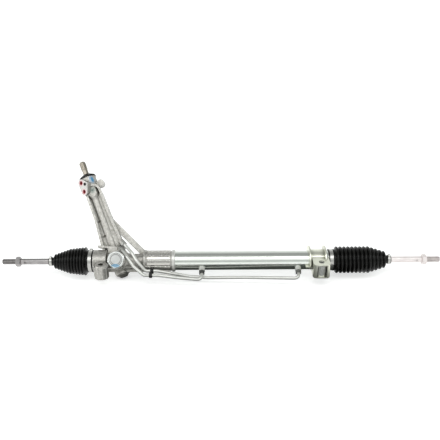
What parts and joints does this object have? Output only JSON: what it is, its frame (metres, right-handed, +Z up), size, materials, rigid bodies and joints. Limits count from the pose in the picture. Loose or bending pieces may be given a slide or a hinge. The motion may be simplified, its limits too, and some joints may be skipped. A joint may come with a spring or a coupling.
{
  "type": "power steering rack",
  "caption": "Hydraulic rack-and-pinion steering gear with a leaning valve tower, cylinder tube, rubber boots and inner tie rods.",
  "frame": {"origin": "axis of the left-hand mounting bore at its lower seat face", "axes": "+Z up along the mounting bolts, +X along the rack towards the right-hand mounting, +Y to the rear, where the rack lies"},
  "size_m": [1.0905, 0.2346, 0.2481],
  "materials": {
    "cast_aluminium": "as-cast, bead blasted",
    "bright_zinc": "bright zinc plate",
    "zinc_steel": "zinc plated",
    "passivated_steel": "yellow-green passivated zinc",
    "bush_rubber": "matte",
    "sleeve_steel": "plated",
    "plated_nut": "zinc plated",
    "dark_steel": "phosphated",
    "bronze": "sintered",
    "black_rubber": "satin moulded rubber",
    "clamp_steel": "stainless band",
    "white_plastic": "moulded",
    "red_plastic": "moulded",
    "black_plastic": "moulded nylon",
    "spring_steel": "oiled",
    "ground_steel": "ground and hardened",
    "ptfe": "filled PTFE",
    "joint_steel": "forged",
    "rod_steel": "plain drawn steel",
    "input_steel": "hardened, straw tinted"
  },
  "bodies": {
    "housing": {"rack_housing": "cast_aluminium", "cylinder_tube": "bright_zinc", "tube_collar": "zinc_steel", "cylinder_ports": "zinc_steel", "inner_rack_seal": "black_rubber", "end_bush": "bronze", "mounting_bracket": "passivated_steel", "bracket_bush_shell": "sleeve_steel", "bracket_bush": "bush_rubber", "bracket_sleeve": "sleeve_steel", "rack_yoke": "dark_steel", "yoke_spring": "spring_steel", "yoke_plug": "plated_nut", "yoke_lock_nut": "plated_nut", "pinion_lower_bush": "bronze", "pinion_upper_bush": "bronze", "pinion_lower_cap": "dark_steel", "input_seal": "black_rubber", "dust_cap": "black_rubber", "port_plate": "white_plastic", "port_plugs": "red_plastic", "transfer_pipe_short": "zinc_steel", "transfer_pipe_long": "zinc_steel", "pipe_union_nuts": "zinc_steel", "pipe_clip": "black_plastic", "left_boot": "black_rubber", "right_boot": "black_rubber", "left_big_clamp": "clamp_steel", "right_big_clamp": "clamp_steel"},
    "rack": {"rack_bar": "ground_steel", "piston": "ground_steel", "piston_ring": "ptfe", "left_joint_housing": "joint_steel", "right_joint_housing": "joint_steel"},
    "pinion": {"pinion_shaft": "ground_steel", "pinion_nut": "ground_steel", "valve_sleeve": "ground_steel", "valve_rings": "ptfe"},
    "input_shaft": {"input_shaft": "input_steel", "torsion_bar": "spring_steel"},
    "left_seat": {"left_ball_seat": "ptfe"},
    "right_seat": {"right_ball_seat": "ptfe"},
    "left_tie_rod": {"left_tie_rod": "rod_steel", "left_jam_nut": "rod_steel", "left_small_clamp": "clamp_steel"},
    "right_tie_rod": {"right_tie_rod": "rod_steel", "right_jam_nut": "rod_steel", "right_small_clamp": "clamp_steel"}
  },
  "joints": [
    {"name": "rack_slide", "type": "slide", "parent": "housing", "child": "rack", "axis": [1, 0, 0], "range_m": [-0.08, 0.04], "deforming": ["left_boot", "right_boot"]},
    {"name": "pinion_turn", "type": "hinge", "parent": "housing", "child": "pinion", "pos_m": [0.034, 0.05526, 0.00901], "axis": [-0.3665, 0.5599, 0.7431], "range_deg": [-690, 346]},
    {"name": "valve_twist", "type": "hinge", "parent": "pinion", "child": "input_shaft", "pos_m": [0.034, 0.05526, 0.00901], "axis": [-0.3665, 0.5599, 0.7431], "range_deg": [-4, 4], "stiffness_Nm_per_rad": 60},
    {"name": "left_fore_aft", "type": "hinge", "parent": "rack", "child": "left_seat", "pos_m": [-0.048, 0.042, 0.019], "axis": [0, 0, 1], "range_deg": [-9, 9]},
    {"name": "left_up_down", "type": "hinge", "parent": "left_seat", "child": "left_tie_rod", "pos_m": [-0.048, 0.042, 0.019], "axis": [0, 1, 0], "range_deg": [-17, 17]},
    {"name": "right_fore_aft", "type": "hinge", "parent": "rack", "child": "right_seat", "pos_m": [0.6325, 0.042, 0.019], "axis": [0, 0, 1], "range_deg": [-9, 9]},
    {"name": "right_up_down", "type": "hinge", "parent": "right_seat", "child": "right_tie_rod", "pos_m": [0.6325, 0.042, 0.019], "axis": [0, 1, 0], "range_deg": [-17, 17]}
  ],
  "couplings": [
    {"joint": "pinion_turn", "follows": "rack_slide", "rad_per_m": 150.38}
  ]
}
